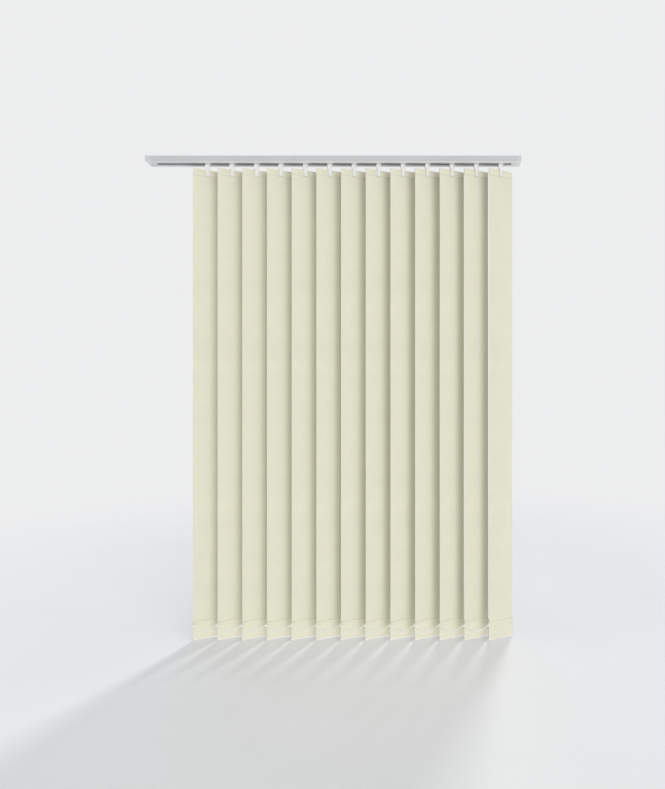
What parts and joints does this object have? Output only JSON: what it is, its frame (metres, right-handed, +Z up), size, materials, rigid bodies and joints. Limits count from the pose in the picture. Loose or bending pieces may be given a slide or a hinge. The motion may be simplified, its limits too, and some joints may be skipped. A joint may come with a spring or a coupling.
{
  "type": "vertical blind",
  "caption": "Window covering of upright fabric louvres that hang from trucks in a ceiling-fixed headrail, tilt together and stack to one side.",
  "frame": {"origin": "middle of the line of bracket screw holes, on the face that the brackets are screwed to", "axes": "+Z up, +X along the headrail towards the side where the louvres stack, -Y towards the room"},
  "size_m": [1.22, 0.0524, 1.5744],
  "materials": {
    "rail": "white satin powder coat",
    "white_plastic": "white moulded plastic",
    "cloth": "cream woven cloth with a fine slub",
    "chain": "ivory moulded plastic",
    "rod": "plain extruded aluminium",
    "bracket": "plated steel",
    "gear_plastic": "natural acetal"
  },
  "bodies": {
    "headrail": {"headrail": "rail", "control_end_cap": "white_plastic", "return_end_cap": "white_plastic", "mounting_brackets": "bracket", "truck_13": "white_plastic"},
    "tilt_rod": {"tilt_rod": "rod", "chain_wheel": "gear_plastic", "worm_13": "gear_plastic"},
    "truck_01": {"truck_01": "white_plastic"},
    "worm_01": {"worm_01": "gear_plastic"},
    "truck_02": {"truck_02": "white_plastic"},
    "worm_02": {"worm_02": "gear_plastic"},
    "truck_03": {"truck_03": "white_plastic"},
    "worm_03": {"worm_03": "gear_plastic"},
    "truck_04": {"truck_04": "white_plastic"},
    "worm_04": {"worm_04": "gear_plastic"},
    "truck_05": {"truck_05": "white_plastic"},
    "worm_05": {"worm_05": "gear_plastic"},
    "truck_06": {"truck_06": "white_plastic"},
    "worm_06": {"worm_06": "gear_plastic"},
    "truck_07": {"truck_07": "white_plastic"},
    "worm_07": {"worm_07": "gear_plastic"},
    "truck_08": {"truck_08": "white_plastic"},
    "worm_08": {"worm_08": "gear_plastic"},
    "truck_09": {"truck_09": "white_plastic"},
    "worm_09": {"worm_09": "gear_plastic"},
    "truck_10": {"truck_10": "white_plastic"},
    "worm_10": {"worm_10": "gear_plastic"},
    "truck_11": {"truck_11": "white_plastic"},
    "worm_11": {"worm_11": "gear_plastic"},
    "truck_12": {"truck_12": "white_plastic"},
    "worm_12": {"worm_12": "gear_plastic"},
    "louvre_01": {"louvre_01": "cloth", "stem_01": "white_plastic"},
    "louvre_02": {"louvre_02": "cloth", "stem_02": "white_plastic"},
    "louvre_03": {"louvre_03": "cloth", "stem_03": "white_plastic"},
    "louvre_04": {"louvre_04": "cloth", "stem_04": "white_plastic"},
    "louvre_05": {"louvre_05": "cloth", "stem_05": "white_plastic"},
    "louvre_06": {"louvre_06": "cloth", "stem_06": "white_plastic"},
    "louvre_07": {"louvre_07": "cloth", "stem_07": "white_plastic"},
    "louvre_08": {"louvre_08": "cloth", "stem_08": "white_plastic"},
    "louvre_09": {"louvre_09": "cloth", "stem_09": "white_plastic"},
    "louvre_10": {"louvre_10": "cloth", "stem_10": "white_plastic"},
    "louvre_11": {"louvre_11": "cloth", "stem_11": "white_plastic"},
    "louvre_12": {"louvre_12": "cloth", "stem_12": "white_plastic"},
    "louvre_13": {"louvre_13": "cloth", "stem_13": "white_plastic"},
    "front_chain": {"front_chain": "chain"},
    "back_chain": {"back_chain": "chain"}
  },
  "joints": [
    {"name": "tilt", "type": "hinge", "parent": "headrail", "child": "louvre_13", "pos_m": [0.545, 0, 0], "axis": [0, 0, 1], "range_deg": [-13, 143]},
    {"name": "traverse", "type": "slide", "parent": "headrail", "child": "truck_01", "axis": [1, 0, 0], "range_m": [0, 0.696], "deforming": ["front_chain", "back_chain"]},
    {"name": "rod_turn", "type": "hinge", "parent": "headrail", "child": "tilt_rod", "pos_m": [0, 0.01, -0.0129], "axis": [1, 0, 0], "range_deg": [-156, 1716]},
    {"name": "traverse_02", "type": "slide", "parent": "headrail", "child": "truck_02", "axis": [1, 0, 0], "range_m": [0, 0.638]},
    {"name": "traverse_03", "type": "slide", "parent": "headrail", "child": "truck_03", "axis": [1, 0, 0], "range_m": [0, 0.58]},
    {"name": "traverse_04", "type": "slide", "parent": "headrail", "child": "truck_04", "axis": [1, 0, 0], "range_m": [0, 0.522]},
    {"name": "traverse_05", "type": "slide", "parent": "headrail", "child": "truck_05", "axis": [1, 0, 0], "range_m": [0, 0.464]},
    {"name": "traverse_06", "type": "slide", "parent": "headrail", "child": "truck_06", "axis": [1, 0, 0], "range_m": [0, 0.406]},
    {"name": "traverse_07", "type": "slide", "parent": "headrail", "child": "truck_07", "axis": [1, 0, 0], "range_m": [0, 0.348]},
    {"name": "traverse_08", "type": "slide", "parent": "headrail", "child": "truck_08", "axis": [1, 0, 0], "range_m": [0, 0.29]},
    {"name": "traverse_09", "type": "slide", "parent": "headrail", "child": "truck_09", "axis": [1, 0, 0], "range_m": [0, 0.232]},
    {"name": "traverse_10", "type": "slide", "parent": "headrail", "child": "truck_10", "axis": [1, 0, 0], "range_m": [0, 0.174]},
    {"name": "traverse_11", "type": "slide", "parent": "headrail", "child": "truck_11", "axis": [1, 0, 0], "range_m": [0, 0.116]},
    {"name": "traverse_12", "type": "slide", "parent": "headrail", "child": "truck_12", "axis": [1, 0, 0], "range_m": [0, 0.058]},
    {"name": "tilt_01", "type": "hinge", "parent": "truck_01", "child": "louvre_01", "pos_m": [-0.415, 0, 0], "axis": [0, 0, 1], "range_deg": [-13, 143]},
    {"name": "worm_turn_01", "type": "hinge", "parent": "truck_01", "child": "worm_01", "pos_m": [-0.415, 0.01, -0.0129], "axis": [1, 0, 0], "range_deg": [-156, 1716]},
    {"name": "tilt_02", "type": "hinge", "parent": "truck_02", "child": "louvre_02", "pos_m": [-0.335, 0, 0], "axis": [0, 0, 1], "range_deg": [-13, 143]},
    {"name": "worm_turn_02", "type": "hinge", "parent": "truck_02", "child": "worm_02", "pos_m": [-0.335, 0.01, -0.0129], "axis": [1, 0, 0], "range_deg": [-156, 1716]},
    {"name": "tilt_03", "type": "hinge", "parent": "truck_03", "child": "louvre_03", "pos_m": [-0.255, 0, 0], "axis": [0, 0, 1], "range_deg": [-13, 143]},
    {"name": "worm_turn_03", "type": "hinge", "parent": "truck_03", "child": "worm_03", "pos_m": [-0.255, 0.01, -0.0129], "axis": [1, 0, 0], "range_deg": [-156, 1716]},
    {"name": "tilt_04", "type": "hinge", "parent": "truck_04", "child": "louvre_04", "pos_m": [-0.175, 0, 0], "axis": [0, 0, 1], "range_deg": [-13, 143]},
    {"name": "worm_turn_04", "type": "hinge", "parent": "truck_04", "child": "worm_04", "pos_m": [-0.175, 0.01, -0.0129], "axis": [1, 0, 0], "range_deg": [-156, 1716]},
    {"name": "tilt_05", "type": "hinge", "parent": "truck_05", "child": "louvre_05", "pos_m": [-0.095, 0, 0], "axis": [0, 0, 1], "range_deg": [-13, 143]},
    {"name": "worm_turn_05", "type": "hinge", "parent": "truck_05", "child": "worm_05", "pos_m": [-0.095, 0.01, -0.0129], "axis": [1, 0, 0], "range_deg": [-156, 1716]},
    {"name": "tilt_06", "type": "hinge", "parent": "truck_06", "child": "louvre_06", "pos_m": [-0.015, 0, 0], "axis": [0, 0, 1], "range_deg": [-13, 143]},
    {"name": "worm_turn_06", "type": "hinge", "parent": "truck_06", "child": "worm_06", "pos_m": [-0.015, 0.01, -0.0129], "axis": [1, 0, 0], "range_deg": [-156, 1716]},
    {"name": "tilt_07", "type": "hinge", "parent": "truck_07", "child": "louvre_07", "pos_m": [0.065, 0, 0], "axis": [0, 0, 1], "range_deg": [-13, 143]},
    {"name": "worm_turn_07", "type": "hinge", "parent": "truck_07", "child": "worm_07", "pos_m": [0.065, 0.01, -0.0129], "axis": [1, 0, 0], "range_deg": [-156, 1716]},
    {"name": "tilt_08", "type": "hinge", "parent": "truck_08", "child": "louvre_08", "pos_m": [0.145, 0, 0], "axis": [0, 0, 1], "range_deg": [-13, 143]},
    {"name": "worm_turn_08", "type": "hinge", "parent": "truck_08", "child": "worm_08", "pos_m": [0.145, 0.01, -0.0129], "axis": [1, 0, 0], "range_deg": [-156, 1716]},
    {"name": "tilt_09", "type": "hinge", "parent": "truck_09", "child": "louvre_09", "pos_m": [0.225, 0, 0], "axis": [0, 0, 1], "range_deg": [-13, 143]},
    {"name": "worm_turn_09", "type": "hinge", "parent": "truck_09", "child": "worm_09", "pos_m": [0.225, 0.01, -0.0129], "axis": [1, 0, 0], "range_deg": [-156, 1716]},
    {"name": "tilt_10", "type": "hinge", "parent": "truck_10", "child": "louvre_10", "pos_m": [0.305, 0, 0], "axis": [0, 0, 1], "range_deg": [-13, 143]},
    {"name": "worm_turn_10", "type": "hinge", "parent": "truck_10", "child": "worm_10", "pos_m": [0.305, 0.01, -0.0129], "axis": [1, 0, 0], "range_deg": [-156, 1716]},
    {"name": "tilt_11", "type": "hinge", "parent": "truck_11", "child": "louvre_11", "pos_m": [0.385, 0, 0], "axis": [0, 0, 1], "range_deg": [-13, 143]},
    {"name": "worm_turn_11", "type": "hinge", "parent": "truck_11", "child": "worm_11", "pos_m": [0.385, 0.01, -0.0129], "axis": [1, 0, 0], "range_deg": [-156, 1716]},
    {"name": "tilt_12", "type": "hinge", "parent": "truck_12", "child": "louvre_12", "pos_m": [0.465, 0, 0], "axis": [0, 0, 1], "range_deg": [-13, 143]},
    {"name": "worm_turn_12", "type": "hinge", "parent": "truck_12", "child": "worm_12", "pos_m": [0.465, 0.01, -0.0129], "axis": [1, 0, 0], "range_deg": [-156, 1716]},
    {"name": "front_chain_pivot", "type": "hinge", "parent": "louvre_13", "child": "front_chain", "pos_m": [0.50095, -0.02054, 0], "axis": [0, 0, 1], "range_deg": [-143, 13]},
    {"name": "back_chain_pivot", "type": "hinge", "parent": "louvre_13", "child": "back_chain", "pos_m": [0.58905, 0.02054, 0], "axis": [0, 0, 1], "range_deg": [-143, 13]}
  ],
  "couplings": [
    {"joint": "rod_turn", "follows": "tilt", "ratio": 12},
    {"joint": "traverse_02", "follows": "traverse", "ratio": 0.91667},
    {"joint": "traverse_03", "follows": "traverse", "ratio": 0.83333},
    {"joint": "traverse_04", "follows": "traverse", "ratio": 0.75},
    {"joint": "traverse_05", "follows": "traverse", "ratio": 0.66667},
    {"joint": "traverse_06", "follows": "traverse", "ratio": 0.58333},
    {"joint": "traverse_07", "follows": "traverse", "ratio": 0.5},
    {"joint": "traverse_08", "follows": "traverse", "ratio": 0.41667},
    {"joint": "traverse_09", "follows": "traverse", "ratio": 0.33333},
    {"joint": "traverse_10", "follows": "traverse", "ratio": 0.25},
    {"joint": "traverse_11", "follows": "traverse", "ratio": 0.16667},
    {"joint": "traverse_12", "follows": "traverse", "ratio": 0.083333},
    {"joint": "tilt_01", "follows": "tilt", "ratio": 1},
    {"joint": "worm_turn_01", "follows": "tilt", "ratio": 12},
    {"joint": "tilt_02", "follows": "tilt", "ratio": 1},
    {"joint": "worm_turn_02", "follows": "tilt", "ratio": 12},
    {"joint": "tilt_03", "follows": "tilt", "ratio": 1},
    {"joint": "worm_turn_03", "follows": "tilt", "ratio": 12},
    {"joint": "tilt_04", "follows": "tilt", "ratio": 1},
    {"joint": "worm_turn_04", "follows": "tilt", "ratio": 12},
    {"joint": "tilt_05", "follows": "tilt", "ratio": 1},
    {"joint": "worm_turn_05", "follows": "tilt", "ratio": 12},
    {"joint": "tilt_06", "follows": "tilt", "ratio": 1},
    {"joint": "worm_turn_06", "follows": "tilt", "ratio": 12},
    {"joint": "tilt_07", "follows": "tilt", "ratio": 1},
    {"joint": "worm_turn_07", "follows": "tilt", "ratio": 12},
    {"joint": "tilt_08", "follows": "tilt", "ratio": 1},
    {"joint": "worm_turn_08", "follows": "tilt", "ratio": 12},
    {"joint": "tilt_09", "follows": "tilt", "ratio": 1},
    {"joint": "worm_turn_09", "follows": "tilt", "ratio": 12},
    {"joint": "tilt_10", "follows": "tilt", "ratio": 1},
    {"joint": "worm_turn_10", "follows": "tilt", "ratio": 12},
    {"joint": "tilt_11", "follows": "tilt", "ratio": 1},
    {"joint": "worm_turn_11", "follows": "tilt", "ratio": 12},
    {"joint": "tilt_12", "follows": "tilt", "ratio": 1},
    {"joint": "worm_turn_12", "follows": "tilt", "ratio": 12},
    {"joint": "front_chain_pivot", "follows": "tilt", "ratio": -1},
    {"joint": "back_chain_pivot", "follows": "tilt", "ratio": -1}
  ]
}
